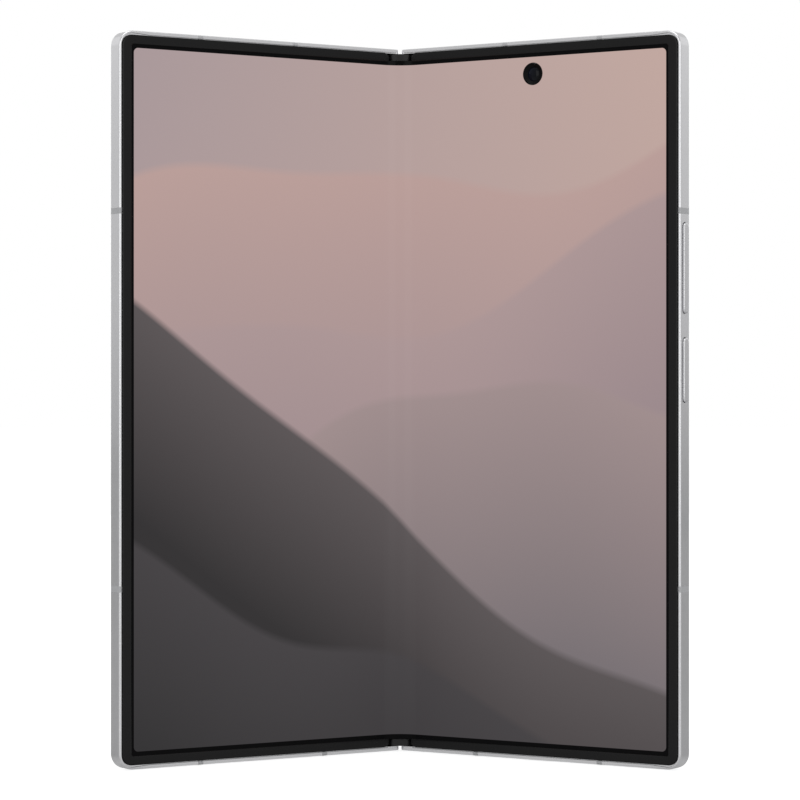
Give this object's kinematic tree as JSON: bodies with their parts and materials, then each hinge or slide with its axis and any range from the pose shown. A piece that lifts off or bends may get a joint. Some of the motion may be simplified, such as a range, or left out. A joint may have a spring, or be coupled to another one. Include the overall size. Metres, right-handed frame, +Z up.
{
  "type": "foldable smartphone",
  "caption": "Foldable smartphone standing half open like a book: slim metal-framed halves, an inner screen that bends over a geared hinge, glass backs, rear cameras and side keys.",
  "frame": {"origin": "bottom centre of the bounding box in the modelled half-open pose: on the surface that the phone stands on, midway across and midway through its depth", "axes": "+Z up along the hinge, +X to the viewer's right across the inner screen, +Y away from the viewer, from the inner screen towards the spine"},
  "size_m": [0.1242, 0.0416, 0.1584],
  "materials": {
    "frame_metal": "fine satin, anodised silver",
    "band_plastic": "matt grey",
    "bezel_plastic": "matt black",
    "screen": "flexible screen, gloss",
    "back_glass": "frosted silver grey",
    "dark_glass": "polished black",
    "lens_glass": "polished, coated",
    "flash": "frosted, warm white",
    "island_metal": "bead blasted silver",
    "ring_metal": "turned, bright",
    "key_metal": "satin, anodised silver",
    "black_plastic": "moulded black",
    "dark_plastic": "moulded dark grey",
    "board": "green circuit board",
    "can_metal": "tinned sheet",
    "battery_foil": "black foil wrap",
    "copper": "copper windings",
    "connector_steel": "nickel plated",
    "motor_metal": "drawn can",
    "magnet": "nickel plated",
    "switch_metal": "gilt dome on a moulded base",
    "spine_metal": "satin, anodised silver",
    "hinge_steel": "machined",
    "pin_steel": "ground",
    "arm_steel": "stamped",
    "gear_metal": "sintered",
    "cam_steel": "sintered, oiled",
    "spring_steel": "drawn wire",
    "plate_steel": "thin sheet",
    "screw_steel": "blackened",
    "flex_film": "amber film with copper tracks"
  },
  "bodies": {
    "hinge": {"spine_cover": "spine_metal", "hinge_end_caps": "black_plastic", "hinge_brackets": "hinge_steel", "hinge_pins": "pin_steel", "idler_pins": "pin_steel", "cam_followers": "cam_steel", "torque_springs": "spring_steel", "display_bend": "screen", "hinge_flex": "flex_film"},
    "right_half": {"right_frame": "frame_metal", "right_antenna_bands": "band_plastic", "right_bezel": "bezel_plastic", "right_display_panel": "screen", "back_glass": "back_glass", "camera_island": "island_metal", "camera_rings": "ring_metal", "camera_lenses": "lens_glass", "camera_modules": "dark_plastic", "flash_lens": "flash", "front_camera": "lens_glass", "key_switches": "switch_metal", "mainboard": "board", "shield_cans": "can_metal", "right_battery": "battery_foil", "charging_coil": "copper", "lower_board": "board", "usb_shell": "connector_steel", "usb_tongue": "black_plastic", "bottom_speaker": "dark_plastic", "vibration_motor": "motor_metal", "right_magnets": "magnet", "right_hinge_arms": "arm_steel", "right_support_plate": "plate_steel", "right_arm_screws": "screw_steel"},
    "left_half": {"left_frame": "frame_metal", "left_antenna_bands": "band_plastic", "left_bezel": "bezel_plastic", "left_display_panel": "screen", "cover_glass": "dark_glass", "cover_display": "black_plastic", "cover_camera": "lens_glass", "left_battery": "battery_foil", "cover_board": "board", "top_speaker": "dark_plastic", "sim_reader": "can_metal", "left_magnets": "magnet", "left_hinge_arms": "arm_steel", "left_support_plate": "plate_steel", "left_arm_screws": "screw_steel"},
    "right_idlers": {"right_idler_gears": "gear_metal"},
    "left_idlers": {"left_idler_gears": "gear_metal"},
    "volume_key": {"volume_key": "key_metal"},
    "side_key": {"side_key": "key_metal"},
    "sim_tray": {"sim_tray": "key_metal"}
  },
  "joints": [
    {"name": "right_fold", "type": "hinge", "parent": "hinge", "child": "right_half", "pos_m": [0.0015, 0.01773, 0.0792], "axis": [0, 0, -1], "range_deg": [-32.5, 57.5], "deforming": ["display_bend", "hinge_flex"]},
    {"name": "left_fold", "type": "hinge", "parent": "hinge", "child": "left_half", "pos_m": [-0.0015, 0.01773, 0.0792], "axis": [0, 0, 1], "range_deg": [-32.5, 57.5]},
    {"name": "right_idler_spin", "type": "hinge", "parent": "hinge", "child": "right_idlers", "pos_m": [0.0007, 0.01888, 0.0435], "axis": [0, 0, 1], "range_deg": [-32.5, 57.5]},
    {"name": "left_idler_spin", "type": "hinge", "parent": "hinge", "child": "left_idlers", "pos_m": [-0.0007, 0.01888, 0.0435], "axis": [0, 0, -1], "range_deg": [-32.5, 57.5]},
    {"name": "volume_rock", "type": "hinge", "parent": "right_half", "child": "volume_key", "pos_m": [0.05993, -0.01849, 0.10745], "axis": [0.5373, 0.8434, 0], "range_deg": [-1.2, 1.2], "stiffness_Nm_per_rad": 0.5},
    {"name": "side_key_press", "type": "slide", "parent": "right_half", "child": "side_key", "axis": [-0.8434, 0.5373, 0], "range_m": [0, 0.0002], "stiffness_N_per_m": 500},
    {"name": "sim_tray_slide", "type": "slide", "parent": "left_half", "child": "sim_tray", "axis": [0, 0, -1], "range_m": [0, 0.018]}
  ],
  "couplings": [
    {"joint": "left_fold", "follows": "right_fold", "ratio": 1},
    {"joint": "right_idler_spin", "follows": "right_fold", "ratio": 1},
    {"joint": "left_idler_spin", "follows": "right_fold", "ratio": 1}
  ]
}
